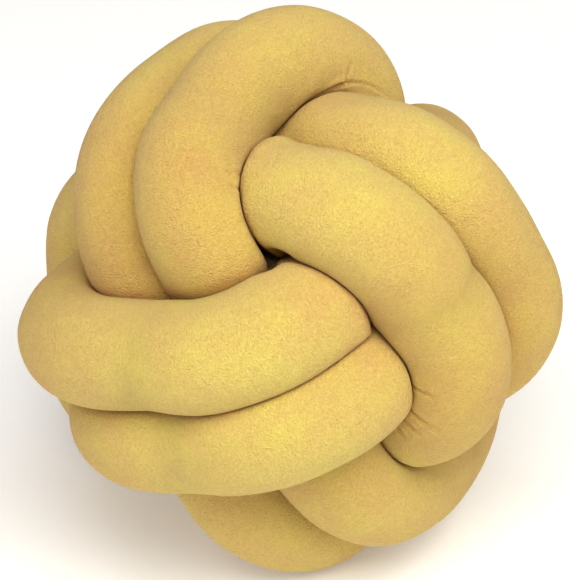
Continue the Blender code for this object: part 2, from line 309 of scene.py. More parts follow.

# %% [markdown]
# ## Rings along the line
#
# The skin is a grid: one parameter runs along the tube and the other round it.  The outside of the ball needs
# close rings, because it shows every crease, while the lengths inside need far fewer.  So the step from ring
# to ring follows how deep in the ball the tube lies, and it is finest where a crease crosses the tube.
#
# The creases come from the tying: inside a sharp bend the cloth has too much length and gathers, and where a
# lap is pulled over another its cloth drags into a fold.  Cloth simulation would put such creases anywhere;
# listed one by one, they are where the photograph has them.

# %% Where the creases are
# Both ends of a crease are given as a place along the tube, in tube radii, and one round it, in degrees.  It
# is deepest near its first end and fades towards its last.  Half its width and its depth are in mm.
Crease = namedtuple("Crease", "name at angle end_at end_angle half_width depth")
CREASES = (
    Crease("gather at the inner right foot, first", 125.80, 124, 125.68, 166, 1.6, 1.0),
    Crease("gather at the inner right foot, second", 125.20, 118, 124.98, 172, 1.5, 1.5),
    Crease("gather at the inner right foot, third", 124.83, 118, 124.72, 162, 1.4, 1.5),
    Crease("gather at the inner right foot, fourth", 124.50, 118, 124.38, 152, 1.5, 1.6),
    Crease("gather at the inner right foot, fifth", 124.20, 118, 124.10, 146, 1.4, 1.0),
    Crease("fold inside the front lap's right shoulder", 18.30, 322, 19.30, 299, 1.7, 3.0),
    Crease("lower branch of that fold", 18.95, 306, 20.50, 285, 0.9, 1.0),
    Crease("upper branch of that fold", 18.95, 312, 19.05, 276, 1.4, 1.0),
    Crease("gather inside the front lap, first", 14.65, 284, 14.72, 258, 1.3, 1.1),
    Crease("gather inside the front lap, second", 14.95, 284, 14.90, 260, 1.3, 0.9),
    Crease("gather on the left bulge", 136.55, 140, 136.45, 175, 1.8, 0.9),
)

# %% A smooth line and its rings
RING_STEP = (0.0030, 0.0066)       # between rings on the outside of the ball, and deep inside it
DEPTH_OF_STEP = (0.098, 0.084)     # distance from the ball's centre at which each step holds
CREASE_STEP = 0.0011               # between rings that cross a crease
CREASE_MARGIN = 0.008              # how far past a crease the rings stay close
LINE_STEP = 0.0048                 # between the points that stand for the neighbouring lengths
READINGS = 20                      # along the line for each settled point, to place the rings by


def spline(p, at):
    """A cubic B-spline over the points p, read at the places `at`, counted in points from the first."""
    i = np.minimum(at.astype(int), len(p) - 2)
    u = (at - i)[:, None]
    longer = np.vstack([2.0 * p[0] - p[1], p, 2.0 * p[-1] - p[-2]])
    a, b, c, d = [longer[i + k] for k in range(4)]
    return (a * (1 - u)**3 + b * (3 * u**3 - 6 * u**2 + 4)
            + c * (-3 * u**3 + 3 * u**2 + 3 * u + 1) + d * u**3) / 6.0


def near_crease(crease, along):
    """1 from one end of a crease to the other and for a margin past them, and 0 from twice that margin."""
    first, last = sorted((crease.at * TUBE_RADIUS, crease.end_at * TUBE_RADIUS))
    past = np.maximum(first - along, along - last)
    return ease((2.0 * CREASE_MARGIN - past) / CREASE_MARGIN)


def ring_places(p):
    """Where each ring lies, counted in points of p: the running sum of 1/step, cut into equal parts."""
    fine = np.linspace(0.0, len(p) - 1.0, READINGS * len(p))
    line = spline(p, fine)
    deep = (DEPTH_OF_STEP[0] - np.linalg.norm(line, axis=1)) / (DEPTH_OF_STEP[0] - DEPTH_OF_STEP[1])
    step = RING_STEP[0] + (RING_STEP[1] - RING_STEP[0]) * ease(deep)
    along = line_places(line)
    for crease in CREASES:
        step = np.minimum(step, step + (CREASE_STEP - step) * near_crease(crease, along))
    steps_taken = np.linalg.norm(np.diff(line, axis=0), axis=1) / step[1:]
    count = np.concatenate([[0.0], np.cumsum(steps_taken)])
    return np.interp(np.linspace(0.0, count[-1], int(count[-1]) + 1), count, fine)


rings_at = ring_places(settled)
ring_line = spline(settled, rings_at)
line_points = int(round(tube_length / LINE_STEP)) + 1
neighbour_line = spline(settled, np.linspace(0.0, len(settled) - 1.0, line_points))
print("rings:", len(rings_at))

# %% [markdown]
# Each ring needs directions in which its skin lies.  Directions that always look up would twist where the
# tube climbs, so they are carried from ring to ring.  Most of a ring lies hidden inside the ball, so its
# points aren't evenly spaced: they draw together on the outside and at the creases, where they show.


# %% Axes across the line
def cross_axes(line):
    """Two unit directions across the line at each of its points, carried along it without twist."""
    along = np.gradient(line, axis=0)
    along /= np.linalg.norm(along, axis=1)[:, None]
    first = np.zeros_like(along)
    first[0] = unit(np.cross(along[0], Z))
    for i in range(1, len(line)):
        first[i] = unit(first[i - 1] - along[i] * (first[i - 1] @ along[i]))
    return first, np.cross(along, first)


first_axis, second_axis = cross_axes(ring_line)
ring_along = np.interp(rings_at, np.arange(len(settled)), line_places(settled))
line_along = np.linspace(0.0, tube_length, len(neighbour_line))
print("axes:", first_axis.shape)

# %% Directions round each ring
POINTS_ROUND = 78
OUTER_PULL = 0.3           # how strongly a ring's points draw together on the outside of the ball
CREASE_PULL = 0.6          # and at a crease


def drawn_angles():
    """The angle of each point of each ring.

    Even angles t become t - (x sin t - y cos t), where (x, y) points to the side on which they draw
    together, and its length, below 1, says how strongly.
    """
    outward = np.stack([np.einsum("rd,rd->r", ring_line, axis) for axis in (first_axis, second_axis)],
                       axis=1)
    pull = OUTER_PULL * outward / np.linalg.norm(outward, axis=1)[:, None]
    for crease in CREASES:
        side = math.radians((crease.angle + crease.end_angle) / 2.0)
        to_crease = CREASE_PULL * np.array([math.cos(side), math.sin(side)])
        pull += near_crease(crease, ring_along)[:, None] * (to_crease - pull)
    t = np.linspace(0.0, 2.0 * np.pi, POINTS_ROUND, endpoint=False)
    return t - (pull[:, :1] * np.sin(t) - pull[:, 1:] * np.cos(t))


angle = drawn_angles()
circle = np.stack([np.cos(angle), np.sin(angle)], axis=2)
directions = circle[..., :1] * first_axis[:, None] + circle[..., 1:] * second_axis[:, None]
gaps_round = np.diff(angle, axis=1) * TUBE_RADIUS * 1000.0
print("points round a ring are", gaps_round.min().round(1), "to", gaps_round.max().round(1), "mm apart")

# %% [markdown]
# ## Sections pressed by their neighbours
#
# Where two stuffed lengths press on each other, they share the room evenly: each is flattened against the
# plane half-way between their middle lines, and bulges elsewhere, because its cloth has a fixed girth.
# Cloth simulation with pressure would find this too, but four metres of tube in full contact with itself
# takes far too long, and it would push the knot out of its place.  The half-way planes give the same
# flats and the same thin, dark lines between the lengths in a second.

# %% How much room each length has
CLEARANCE = 0.0002         # from each skin to the plane where it would meet its neighbour's
REACH_OF_TOUCH = 2.9       # lengths further apart than this, in tube radii, don't touch
LEAST_FACING = 0.05        # cosine past which a direction no longer points at a neighbour
FAR = 10.0 * TUBE_RADIUS   # stands for no neighbour at all
INNER_SHARE = 0.8          # the share of a bend's own radius that its inner side may take up
BEND_SPAN = 0.8            # how far before and after a section its bend is looked for, in tube radii
LEAST_CURVE = 1.0          # curvature, in 1/m, that counts as straight


def neighbours():
    """Each pair of a ring and a point of another length near it: their indices, the distance between
    them, and the cosine between the way to the neighbour and each direction of the ring."""
    away = neighbour_line - ring_line[:, None]
    distance = np.linalg.norm(away, axis=2)
    other = np.abs(line_along - ring_along[:, None]) > SAME_LENGTH * TUBE_RADIUS
    ring, point = np.nonzero(other & (distance < REACH_OF_TOUCH * TUBE_RADIUS))
    toward = away[ring, point] / distance[ring, point, None]
    facing = np.einsum("pad,pd->pa", directions[ring].astype(np.float32), toward.astype(np.float32))
    return ring, distance[ring, point], facing


def least_of_each(ring, values, otherwise):
    """The least of the values that belong to each ring, in every direction."""
    least = np.full((len(ring_line), POINTS_ROUND), otherwise)
    starts = np.flatnonzero(np.diff(ring, prepend=-1))
    least[ring[starts]] = np.minimum(np.minimum.reduceat(values, starts, axis=0), otherwise)
    return least


pair_ring, pair_distance, pair_facing = neighbours()
to_plane = np.where(pair_facing > LEAST_FACING,
                    (pair_distance[:, None] / 2.0 - CLEARANCE) / np.maximum(pair_facing, LEAST_FACING), FAR)
limit = least_of_each(pair_ring, to_plane, FAR)
print("pairs of near lengths:", len(pair_ring), "  least room, mm:", round(1000 * float(limit.min()), 1))

# %% [markdown]
# Inside a sharp bend the skin would fold through itself, so it stops short of the bend's own centre in the
# same way.

# %% Room inside the bends
line_step = tube_length / (len(neighbour_line) - 1)
# how sharply the line bends, in 1/m, to its inside
line_bend = np.gradient(np.gradient(neighbour_line, axis=0), axis=0) / line_step**2


def bend_room():
    """How far the skin may reach inside a bend: a share of the bend's radius, which is one over the
    curvature of the middle line in that direction, for the sharpest place close by."""
    span = int(round(BEND_SPAN * TUBE_RADIUS / line_step))
    nearest = np.rint(ring_along / line_step).astype(int)
    window = np.clip(nearest[:, None] + np.arange(-span, span + 1), 0, len(neighbour_line) - 1)
    sharpest = np.einsum("rad,rwd->raw", directions, line_bend[window]).max(axis=2)
    return INNER_SHARE / np.maximum(sharpest, LEAST_CURVE)


limit = np.minimum(limit, bend_room())
print("least room with the bends, mm:", round(1000 * float(limit.min()), 1))

# %% Sections that keep their girth
SHOULDER = 0.0022          # how softly a pressed side runs into the round of the tube
GIRTH_ROUNDS = 6           # steps in which a pressed section swells back to its girth
GIRTH_SHARE = 0.8          # share of the missing girth that one step gives back
MOST_SWELL = 1.3           # the largest free radius of a pressed section, in tube radii


def pressed_radii(limit):
    """The skin's distance from the middle line: a circle, or less where there is less room.

    The two meet in a smooth minimum, and the rest of a pressed section swells until its girth is that of
    the free tube, because the cloth doesn't stretch.  Also given: how free each place is, from 0 to 1.
    """
    girth = 2.0 * np.pi * TUBE_RADIUS
    free = np.full((len(limit), 1), TUBE_RADIUS)
    for _ in range(GIRTH_ROUNDS):
        mix = np.clip(0.5 + 0.5 * (limit - free) / SHOULDER, 0.0, 1.0)
        radii = limit * (1.0 - mix) + free * mix - SHOULDER * mix * (1.0 - mix)
        skin = radii[..., None] * circle
        around = np.linalg.norm(np.roll(skin, -1, axis=1) - skin, axis=2).sum(axis=1, keepdims=True)
        free = np.minimum(free * (1.0 + GIRTH_SHARE * (girth / around - 1.0)), MOST_SWELL * TUBE_RADIUS)
    return radii, mix


radii, freedom = pressed_radii(limit)
print("skin from the middle line, mm:", round(1000 * float(radii.min()), 1), "to",
      round(1000 * float(radii.max()), 1))

# %% [markdown]
# ## Stuffing and creases
#
# Loose fibre never fills a tube evenly, so the real skin has low, broad lumps.  They could be sculpted by
# hand or painted as a displacement texture.  A sum of a few waves in fixed directions does it here, because
# it is part of the mesh, costs nothing and comes out the same every time.  The creases are laid on top.


# %% Waves for uneven shapes
def waves(place, size, seed, count=24):
    """An even mixture of waves: the sum of cos(2 pi (place . direction)/length + phase) over `count`
    directions and phases from a seeded draw, with lengths from 0.7 to 1.6 times `size`, scaled to a
    spread of about 1."""
    draw = np.random.default_rng(seed)
    way = draw.normal(size=(count, 3))
    way /= np.linalg.norm(way, axis=1)[:, None]
    way /= size * draw.uniform(0.7, 1.6, size=(count, 1))
    phase = draw.uniform(0.0, 2.0 * np.pi, size=count)
    return np.cos(2.0 * np.pi * place @ way.T + phase).sum(axis=-1) / math.sqrt(count / 2.0)


# the same tube as if it were straight: x along it, y and z across it
straight = np.stack([np.broadcast_to(ring_along[:, None], limit.shape),
                     TUBE_RADIUS * circle[..., 0], TUBE_RADIUS * circle[..., 1]], axis=2)
# and its skin as if it were rolled out flat: x along it, y round it
flat = np.stack([straight[..., 0], TUBE_RADIUS * angle], axis=2)

LUMP_SIZE, LUMP_HEIGHT = 0.070, 0.00030        # broad lumps of stuffing
DIMPLE_SIZE, DIMPLE_HEIGHT = 0.026, 0.00014    # small unevenness of cloth over fibre
lumps = (LUMP_HEIGHT * waves(straight, LUMP_SIZE, seed=3)
         + DIMPLE_HEIGHT * waves(straight, DIMPLE_SIZE, seed=4))
print("lumps, mm:", round(1000 * float(lumps.min()), 2), "to", round(1000 * float(lumps.max()), 2))

# %% Creases
CREASE_FADE_IN = 0.3       # the share of its length over which a crease rises before its first end,
CREASE_FADE_OUT = 0.6      # and over which it fades before its last
SMALL_GATHER_FROM = 10.0   # curvature, in 1/m, at which small gathers start
SMALL_GATHER_FULL = 22.0   # and at which they are full
SMALL_GATHER_PITCH = 0.0125
SMALL_GATHER_DEPTH = 0.0004
SMALL_GATHER_DRIFT = 1.5   # how far waves push their phase, in radians
DRIFT_SIZE, UNEVEN_SIZE = 0.030, 0.022     # of the waves that push them, and that make some fainter


def crease_relief(crease):
    """One crease: with q across it in half widths it is -depth (1 - q^2) exp(-q^2 / 2), a trough between
    two soft ridges, and it rises before its first end and fades towards its last."""
    start = TUBE_RADIUS * np.array([crease.at, math.radians(crease.angle)])
    way = TUBE_RADIUS * np.array([crease.end_at, math.radians(crease.end_angle)]) - start
    length = np.linalg.norm(way)
    along_it = (flat - start) @ way / length**2
    across = (flat - start) @ np.array([-way[1], way[0]]) / length / (crease.half_width / 1000.0)
    fade_in = ease((along_it + CREASE_FADE_IN) / CREASE_FADE_IN)
    fade = fade_in * (1.0 - ease((along_it - (1.0 - CREASE_FADE_OUT)) / CREASE_FADE_OUT))
    return -crease.depth / 1000.0 * fade * (1.0 - across**2) * np.exp(-across**2 / 2.0)


def small_gathers():
    """Faint gathers across the tube inside its bends: their depth grows with the curvature of the middle
    line towards that side, and along the tube they follow ((1 + cos)/2)^2 of a phase that waves push
    forwards and back, so that no two are alike."""
    bend = np.stack([np.interp(ring_along, line_along, line_bend[:, axis]) for axis in range(3)], axis=1)
    curve = np.einsum("rad,rd->ra", directions, bend)
    gather = ease((curve - SMALL_GATHER_FROM) / (SMALL_GATHER_FULL - SMALL_GATHER_FROM))
    drift = SMALL_GATHER_DRIFT * waves(straight, DRIFT_SIZE, seed=5)
    phase = 2.0 * np.pi * straight[..., 0] / SMALL_GATHER_PITCH + drift
    uneven = np.clip(0.5 + 0.5 * waves(straight, UNEVEN_SIZE, seed=6), 0.0, 1.3)
    return -SMALL_GATHER_DEPTH * gather * uneven * ((1.0 + np.cos(phase)) / 2.0)**2


creases = small_gathers()
for crease in CREASES:
    creases += crease_relief(crease)
print("creases, mm:", round(1000 * float(creases.min()), 2), "to", round(1000 * float(creases.max()), 2))

# %% [markdown]
# The laps are also pushed out of round.  Three of them leave a dark hole open where they meet, and others
# stand in or out by one to three millimetres.  A sculpting brush could do this, but its strokes can't be
# read or changed afterwards, and a short table of soft dents can.

# %% Dents and swellings
# A dent is deepest at a place along the tube, in tube radii, and round it, in degrees.  How far it reaches
# along and round the tube and its depth are in mm, and a swelling has a depth below 0.
Dent = namedtuple("Dent", "name at angle reach_along reach_round edge depth")
SOFT, STEEP = 2, 4         # the edge is the power with which a dent falls away round the tube
DENTS = (
    Dent("inner right lap, beside the hole", 130.05, 93, 7, 18, STEEP, 16.0),
    Dent("upper level lap, beside the hole", 57.75, 44, 7, 18, STEEP, 15.0),
    Dent("front lap, beside the hole", 13.45, 318, 7, 18, STEEP, 16.0),
    Dent("inner right lap, its tip", 130.8, 287, 5, 5, SOFT, 2.4),
    Dent("inner right lap, beside its tip", 130.35, 288, 6, 6, SOFT, -1.2),
    Dent("inner right lap, top edge past its tip", 129.5, 284, 13, 13, SOFT, -2.5),
    Dent("outer right lap, under the front lap", 105.3, 190, 16, 16, SOFT, 3.2),
    Dent("upper level lap, under the rear laps", 54.6, 86, 22, 22, SOFT, 2.5),
    Dent("upper level lap, left end", 52.5, 145, 25, 25, SOFT, -1.5),
    Dent("lower level lap, left end", 76.5, 140, 25, 25, SOFT, -1.5),
    Dent("lower level lap, lower right edge", 80.6, 179, 35, 22, SOFT, -1.7),
    Dent("left foot lap, outer side", 33.0, 189, 35, 25, SOFT, -1.6),
    Dent("outer right lap, outer side", 100.8, 165, 25, 25, SOFT, -1.0),
)


def dent_depth(dent):
    """One dent: its depth times exp(-x^2 - |y|^edge), with x along and y round the tube from its middle,
    both in shares of its reach."""
    x = 1000.0 * (flat[..., 0] - dent.at * TUBE_RADIUS) / dent.reach_along
    turned = np.angle(np.exp(1j * (angle - math.radians(dent.angle))))
    y = 1000.0 * TUBE_RADIUS * turned / dent.reach_round
    return dent.depth / 1000.0 * np.exp(-x**2 - np.abs(y)**dent.edge)


dents = sum(dent_depth(dent) for dent in DENTS)
formed = creases - dents
# what stands out does so only where nothing presses; what goes in does so everywhere
relief = freedom * (lumps + np.maximum(formed, 0.0)) + np.minimum(formed, 0.0)
print("relief, mm:", round(1000 * float(relief.min()), 2), "to", round(1000 * float(relief.max()), 2))

# %% [markdown]
# Where two lengths meet, the plush looks darker and a little redder, because light is lost between the
# fibres there.  The renderer shades the open gap, but it knows no fibres.  A shader node could look for near
# surfaces, at some cost.  The room up to the half-way plane is known already, so each point of the skin
# carries a number made from it, and the colour reads it as painted shade: darker and redder where lengths
# touch or a crease is deep, and nearly black in the hole.

# %% How deep in a crevice each place is, which sets its painted shade
TOUCHING = 0.5             # at a place that touches the next length; 0 is open skin, and 1 the hole
CREVICE_GAP = 0.0007       # gap to the next length at which its shade has faded to a third
CREASE_FULL = 0.0018       # depth at which the bottom of a crease counts as touching
DENT_FULL = 0.008          # depth at which a dent counts as the hole

# painted shade: TOUCHING where lengths touch and at the bottom of deep creases, up to 1, nearly black, in the
# hole
crevice = TOUCHING * np.exp(-np.maximum(limit - radii, 0.0) / CREVICE_GAP)
crevice = np.maximum(crevice, TOUCHING * np.clip(-creases / CREASE_FULL, 0.0, 1.0))
crevice = np.maximum(crevice, np.clip(dents / DENT_FULL, 0.0, 1.0)**2)
print("mean depth in crevices, from 0 to 1:", round(float(crevice.mean()), 2))

# %% [markdown]
# ## The skin
#
# The skin is the middle line plus each direction times its distance.  Near its two ends the tube is rounded
# off.  The ball is then turned the way it lies and pressed flat where it stands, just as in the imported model.

# %% Work out the skin
FLAT_DEPTH = 0.007              # how far the lowest lengths are pressed flat where the ball rests
FLAT_SHOULDER = 0.003           # how softly the flat runs into the round


def end_rounding(along):
    """The share of its radius that a section keeps near the tube's two rounded ends."""
    to_end = np.minimum(along, tube_length - along) / TUBE_RADIUS
    return np.sqrt(np.maximum(1.0 - np.maximum(1.0 - to_end, 0.0)**2, 0.0))


def skin_points(reach):
    """The skin at the distance `reach` from the middle line, turned as the ball lies: its rings and, last,
    the two end points."""
    rings = ring_line[:, None] + (reach * end_rounding(ring_along)[:, None])[..., None] * directions
    return np.vstack([rings[1:-1].reshape(-1, 3), ring_line[0], ring_line[-1]]) @ knot_to_frame.T


def resting_place(points):
    """The knot's centre in the frame once its lowest part is pressed flat and its box is centred."""
    middle = (points[:, :2].min(axis=0) + points[:, :2].max(axis=0)) / 2.0
    return np.array([-middle[0], -middle[1], -points[:, 2].min() - FLAT_DEPTH])


def pressed_flat(points):
    """The points with their lowest part pressed flat at height 0 by a smooth maximum."""
    points = points.copy()
    above = np.clip(0.5 + 0.5 * points[:, 2] / FLAT_SHOULDER, 0.0, 1.0)
    points[:, 2] = points[:, 2] * above + FLAT_SHOULDER * above * (1.0 - above)
    return points


knot_centre = resting_place(skin_points(radii))
skin = pressed_flat(skin_points(radii + relief) + knot_centre)
print("skin, mm:", (1000 * (skin.max(axis=0) - skin.min(axis=0))).round(1),
      " knot centre:", knot_centre.round(4))


# %% Make the mesh
def closed_tube_faces(rows, columns):
    """Quads between neighbouring rings, and a fan of triangles at each end, as one list of corners and
    the number of corners of each face."""
    at = np.arange(rows * columns).reshape(rows, columns)
    beside = np.roll(at, -1, axis=1)
    quads = np.stack([at[:-1], beside[:-1], beside[1:], at[1:]], axis=-1).reshape(-1)
    first = np.stack([beside[0], at[0], np.full(columns, rows * columns)], axis=-1).reshape(-1)
    last = np.stack([at[-1], beside[-1], np.full(columns, rows * columns + 1)], axis=-1).reshape(-1)
    sides = np.concatenate([np.full((rows - 1) * columns, 4), np.full(2 * columns, 3)])
    return np.concatenate([quads, first, last]), sides


def signed_volume(points, corners, sides):
    """The volume inside a closed mesh: a sixth of the sum of a . (b x c) over its triangles.  It is below
    0 where the faces point inwards."""
    starts = np.concatenate([[0], np.cumsum(sides)[:-1]])
    total = 0.0
    for k in (1, 2):
        has = sides > k + 1
        a, b, c = [points[corners[starts[has] + n]] for n in (0, k, k + 1)]
        total += np.einsum("fd,fd->", a, np.cross(b, c)) / 6.0
    return total


def new_mesh(name, points, corners, sides):
    """A mesh from arrays of points and corners."""
    starts = np.concatenate([[0], np.cumsum(sides)[:-1]])
    mesh = bpy.data.meshes.new(name)
    mesh.vertices.add(len(points))
    mesh.vertices.foreach_set("co", points.astype(np.float32).ravel())
    mesh.loops.add(len(corners))
    mesh.loops.foreach_set("vertex_index", corners.astype(np.int32))
    mesh.polygons.add(len(sides))
    mesh.polygons.foreach_set("loop_start", starts.astype(np.int32))
    mesh.polygons.foreach_set("use_smooth", np.ones(len(sides), bool))
    mesh.update(calc_edges=True)
    mesh.validate()
    return mesh


corners, sides = closed_tube_faces(len(ring_line) - 2, POINTS_ROUND)
print("volume with the faces as they are, litres:", round(1000 * signed_volume(skin, corners, sides), 2))

# %% [markdown]
# Pile leans along the cloth, so a lap that runs from left to right turns its tips to the lamps in another
# way than an upright one, and looks a little richer.  Leaning hairs would give this by themselves.  Here one
# number for each ring says how level its lap runs, and the colour is painted lighter by it: painted light,
# as the lamps would give it on leaning pile.

# %% How level each lap runs
# 1 where the tube runs from left to right, and 0 where it runs square to that
way_along = np.gradient(ring_line @ knot_to_frame.T, axis=0)
level = (way_along[:, 0] / np.linalg.norm(way_along, axis=1))**2
print("mean level:", round(float(level.mean()), 2))


# %% The cushion
def knotted_cushion():
    """The tube as one closed mesh with three attributes for its plush: where each point would be if the
    tube were straight, how deep in a crevice it lies, for its painted shade, and how level its lap runs,
    for its painted light."""
    mesh = new_mesh("knotted_plush_tube", skin, corners, sides)
    unrolled = np.vstack([straight[1:-1].reshape(-1, 3), straight[0, :1] * X, straight[-1, :1] * X])
    mesh.attributes.new("straight_tube", "FLOAT_VECTOR", "POINT").data.foreach_set(
        "vector", unrolled.astype(np.float32).ravel())
    mesh.attributes.new("crevice", "FLOAT", "POINT").data.foreach_set(
        "value", np.concatenate([crevice[1:-1].ravel(), crevice[[0, -1], 0]]).astype(np.float32))
    mesh.attributes.new("level", "FLOAT", "POINT").data.foreach_set(
        "value", np.concatenate([np.repeat(level[1:-1], POINTS_ROUND), level[[0, -1]]]).astype(np.float32))
    cushion = bpy.data.objects.new(mesh.name, mesh)
    bpy.context.scene.collection.objects.link(cushion)
    return cushion


cushion = knotted_cushion()
cushion.data.calc_loop_triangles()
print("cushion:", len(cushion.data.vertices), "points,", len(cushion.data.loop_triangles), "triangles")

# %% [markdown]
# ## Short-pile plush
#
# The cloth is a warp-knitted polyester plush with a cut pile about 1.5 mm long.  Three things make it look
# like plush and not like paint.  The pile scatters light back at its tips, so the edges of each length are
# paler than its middle: that is the shader's sheen.  The pile leans one way or another in patches a few
# centimetres across, and each patch is a little lighter or darker.  And the tips clump into small tufts,
# which the eye reads as grain.  The colour also follows the two numbers that the skin carries.
#
# Real hair particles would need millions of strands, and most of them would be thinner than a pixel.
# Noise at each real size does the same for colour and bump.


# %% Helpers for materials
def linear(code):
    """A colour's linear values from its sRGB hex code, with full opacity as the fourth."""
    srgb = np.array([int(code[k:k + 2], 16) for k in (1, 3, 5)]) / 255.0
    return (*np.where(srgb <= 0.04045, srgb / 12.92, ((srgb + 0.055) / 1.055)**2.4).tolist(), 1.0)


def add(tree, kind, settings=None, **inputs):
    """Adds a node.  `settings` are its own properties, and each input is a value or another node's
    output; the input's name has _ for each space, or is `at` and a number."""
    made = tree.nodes.new(kind)
    for name, value in (settings or {}).items():
        setattr(made, name, value)
    for name, value in inputs.items():
        numbered = name.startswith("at") and name[2:].isdigit()
        socket = made.inputs[int(name[2:]) if numbered else name.replace("_", " ")]
        if isinstance(value, bpy.types.NodeSocket):
            tree.links.new(value, socket)
        else:
            socket.default_value = value
    return made


print("linear gold:", [round(part, 3) for part in linear("#EBC55A")])

# %% The colour of the pile
TUFT_SHARE = 0.15          # of the tufts in the tone
TUFT_IN_PILE = 0.4         # and in the fine shade of the pile
TONES = ((0.37, "#CAA44F"), (0.50, "#CCAB4E"), (0.63, "#CEB34B"))  # where in the noise each tone lies
PILE_FROM, PILE_TO = 0.30, 0.70    # the spread of the fine noise
SHADE = 0.09               # by which share the pile is darker and lighter
TIP = 0.025                # how much is added to the colour of the palest tips, and taken off the deepest


def pile_colour(tree, broad, tufts, grain):
    """The colour of the pile on its own: a tone that changes across patches and tufts, times a fine
    shade, plus a little for pale tips."""
    patch = add(tree, "ShaderNodeMix", {"data_type": "FLOAT"}, at0=TUFT_SHARE, at2=broad, at3=tufts)
    tone = add(tree, "ShaderNodeValToRGB", Fac=patch.outputs[0])
    tone.color_ramp.elements.new(0.5)
    for stop, (at, code) in zip(tone.color_ramp.elements, TONES):
        stop.position, stop.color = at, linear(code)

    pile = add(tree, "ShaderNodeMix", {"data_type": "FLOAT"}, at0=TUFT_IN_PILE, at2=grain, at3=tufts)
    shade = add(tree, "ShaderNodeMapRange", Value=pile.outputs[0], at1=PILE_FROM, at2=PILE_TO,
                at3=1.0 - SHADE, at4=1.0 + SHADE)
    tips = add(tree, "ShaderNodeMapRange", Value=pile.outputs[0], at1=PILE_FROM, at2=PILE_TO,
               at3=-TIP, at4=TIP)
    return add(tree, "ShaderNodeVectorMath", {"operation": "MULTIPLY_ADD"}, at0=tone.outputs["Color"],
               at1=shade.outputs[0], at2=tips.outputs[0]).outputs[0]


print("tones of the pile:", ", ".join(code for _, code in TONES))

# %% Painted light on level laps, and painted shade in the crevices
# painted light: the pile's colour is scaled by base + gain times level, so level laps are painted lighter
NAP_LIGHT_BASE = (0.97, 0.89, 0.90)      # what the pile keeps of red, green and blue on an upright lap
NAP_LIGHT_GAIN = (0.12, 0.28, 0.38)      # and what it gains on a level one
# painted shade: darker and redder where lengths touch, nearly black in the hole
CREVICE_SHADES = ((0.0, "#FFFFFF"), (TOUCHING, "#F6E4DA"), (1.0, "#17110D"))    # from open skin to the hole


def with_painted_light_and_shade(tree, colour):
    """The pile's colour times painted light on level laps, base + gain times level, and times painted shade
    in the crevices."""
    how_level = add(tree, "ShaderNodeAttribute", {"attribute_name": "level"}).outputs["Fac"]
    # painted light on level laps
    nap_light = add(tree, "ShaderNodeVectorMath", {"operation": "MULTIPLY_ADD"}, at0=how_level,
              at1=NAP_LIGHT_GAIN, at2=NAP_LIGHT_BASE)
    nap_lit = add(tree, "ShaderNodeVectorMath", {"operation": "MULTIPLY"}, at0=colour, at1=nap_light.outputs[0])
    how_deep = add(tree, "ShaderNodeAttribute", {"attribute_name": "crevice"}).outputs["Fac"]
    # painted shade in the crevices and the hole
    painted_shade = add(tree, "ShaderNodeValToRGB", Fac=how_deep)
    painted_shade.color_ramp.elements.new(0.5)
    for stop, (at, code) in zip(painted_shade.color_ramp.elements, CREVICE_SHADES):
        stop.position, stop.color = at, linear(code)
    return add(tree, "ShaderNodeVectorMath", {"operation": "MULTIPLY"}, at0=nap_lit.outputs[0],
               at1=painted_shade.outputs["Color"]).outputs[0]


print("tints of the crevices:", ", ".join(code for _, code in CREVICE_SHADES))

# %% The plush
LEANING = 0.042            # across a patch of pile that leans one way
BRUSHED = 0.013            # across a stroke in the pile, a few of which make a patch
TUFT = 0.0020              # across a clump of pile tips, drawn as coarse as it shows
GRAIN = 0.0011             # between single tips, drawn coarser than the real 0.2 mm
TUFT_LENGTH = 2.2          # how much longer a tuft is across the tube than along it
BRUSHED_SHARE = 0.4        # of the strokes in the broad patches
PILE_RELIEF = 0.0013       # depth of the grain as bump, close to the real pile
STROKE_RELIEF = 0.0007     # and of the strokes
PILE_ROUGHNESS = 0.95      # loose fibre ends have no gloss
PILE_IOR = 1.45            # below polyester's own 1.6, for the air between the fibres
PILE_SPECULAR = 0.1        # a loose pile mirrors hardly anything
SHEEN, SHEEN_ROUGHNESS = 0.28, 0.85    # the light that the tips scatter back, wide and soft


